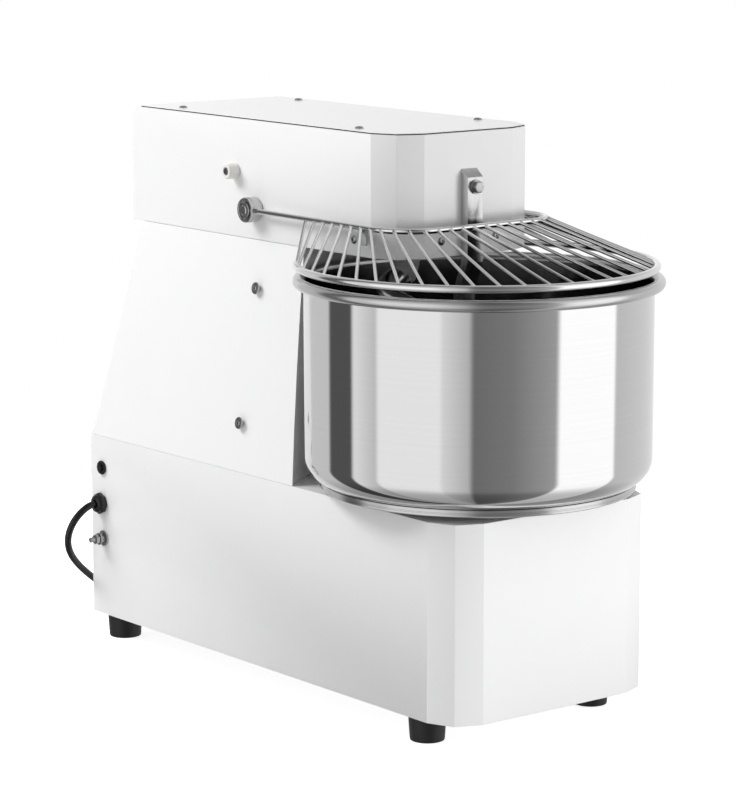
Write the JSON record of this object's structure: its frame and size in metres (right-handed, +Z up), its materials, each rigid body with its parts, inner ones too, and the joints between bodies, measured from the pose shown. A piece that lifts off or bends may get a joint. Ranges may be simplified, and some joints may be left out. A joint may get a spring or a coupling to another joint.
{
  "type": "spiral dough mixer",
  "caption": "Fixed-head spiral dough kneader: white sheet-steel base, column and head, turning stainless bowl, spiral hook, breaker bar and hinged wire guard.",
  "frame": {"origin": "on the floor, under the middle of the machine without its mains cord", "axes": "+Z up, +Y towards the back, -Y to the bowl side, +X to the side of the push buttons"},
  "size_m": [0.385, 0.8398, 0.6143],
  "materials": {
    "white_paint": "smooth baked white enamel",
    "bowl_steel": "polished stainless steel with faint lathe lines",
    "wire_steel": "polished stainless rod and turned hubs",
    "zinc_steel": "bright zinc-plated steel",
    "cast_iron": "oiled dark castings and chain",
    "cast_aluminium": "grey painted die-cast aluminium",
    "rubber": "matt black moulded rubber",
    "cord_jacket": "satin black rubber jacket",
    "black_plastic": "satin black moulding",
    "grey_plastic": "light grey moulding",
    "nylon": "off-white turned nylon",
    "green_plastic": "glossy green cap",
    "red_plastic": "glossy red cap"
  },
  "bodies": {
    "frame": {"base_shell": "white_paint", "column_shell": "white_paint", "column_front_wall": "white_paint", "head_shell": "white_paint", "head_floor": "white_paint", "head_lid": "white_paint", "rear_cover": "white_paint", "breaker_bar": "bowl_steel", "base_bottom_plate": "zinc_steel", "lid_screw_1": "zinc_steel", "lid_screw_2": "zinc_steel", "lid_screw_3": "zinc_steel", "lid_screw_4": "zinc_steel", "column_screw_l1": "zinc_steel", "column_screw_l2": "zinc_steel", "column_screw_r1": "zinc_steel", "column_screw_r2": "zinc_steel", "breaker_bolt": "zinc_steel", "bonding_terminal": "zinc_steel", "guard_stop_screw": "zinc_steel", "bowl_bearing": "cast_iron", "spiral_bearing": "cast_iron", "bowl_chain": "cast_iron", "head_chain": "cast_iron", "gearbox": "cast_aluminium", "motor_body": "cast_aluminium", "foot_fl": "rubber", "foot_fr": "rubber", "foot_rl": "rubber", "foot_rr": "rubber", "mains_cord": "cord_jacket", "cord_coil": "cord_jacket", "motor_fan_cover": "black_plastic", "cable_gland": "black_plastic", "reset_bezel": "black_plastic", "guard_switch": "black_plastic", "mains_plug": "black_plastic", "control_plate": "grey_plastic", "guard_stop": "nylon"},
    "bowl": {"bowl": "bowl_steel", "turntable": "bowl_steel", "bowl_shaft": "zinc_steel", "bowl_sprocket": "zinc_steel"},
    "spiral": {"spiral_hook": "bowl_steel", "spiral_shaft": "bowl_steel", "spiral_sprocket": "zinc_steel"},
    "layshaft": {"layshaft": "zinc_steel", "layshaft_sprocket_low": "zinc_steel", "layshaft_sprocket_high": "zinc_steel"},
    "guard": {"guard_frame": "wire_steel", "guard_tab": "grey_plastic", "guard_hub_l": "wire_steel", "guard_hub_r": "wire_steel", "guard_pin_l": "zinc_steel", "guard_pin_r": "zinc_steel"},
    "start_button": {"start_button": "green_plastic"},
    "stop_button": {"stop_button": "red_plastic"},
    "reset_button": {"reset_button": "black_plastic"}
  },
  "joints": [
    {"name": "bowl_spin", "type": "hinge", "parent": "frame", "child": "bowl", "pos_m": [0, -0.1645, 0.25], "axis": [0, 0, 1], "continuous": true},
    {"name": "spiral_spin", "type": "hinge", "parent": "frame", "child": "spiral", "pos_m": [0, -0.0445, 0.45], "axis": [0, 0, 1], "continuous": true},
    {"name": "layshaft_spin", "type": "hinge", "parent": "frame", "child": "layshaft", "pos_m": [0, 0.1255, 0.4], "axis": [0, 0, 1], "continuous": true},
    {"name": "guard_hinge", "type": "hinge", "parent": "frame", "child": "guard", "pos_m": [0, 0.0901, 0.515], "axis": [-1, 0, 0], "range_deg": [0, 118]},
    {"name": "start_press", "type": "slide", "parent": "frame", "child": "start_button", "axis": [-1, 0, 0], "range_m": [0, 0.003], "stiffness_N_per_m": 400},
    {"name": "stop_press", "type": "slide", "parent": "frame", "child": "stop_button", "axis": [-1, 0, 0], "range_m": [0, 0.003], "stiffness_N_per_m": 400},
    {"name": "reset_press", "type": "slide", "parent": "frame", "child": "reset_button", "axis": [1, 0, 0], "range_m": [0, 0.002], "stiffness_N_per_m": 400}
  ],
  "couplings": [
    {"joint": "layshaft_spin", "follows": "bowl_spin", "ratio": 5},
    {"joint": "spiral_spin", "follows": "bowl_spin", "ratio": 7.5}
  ]
}
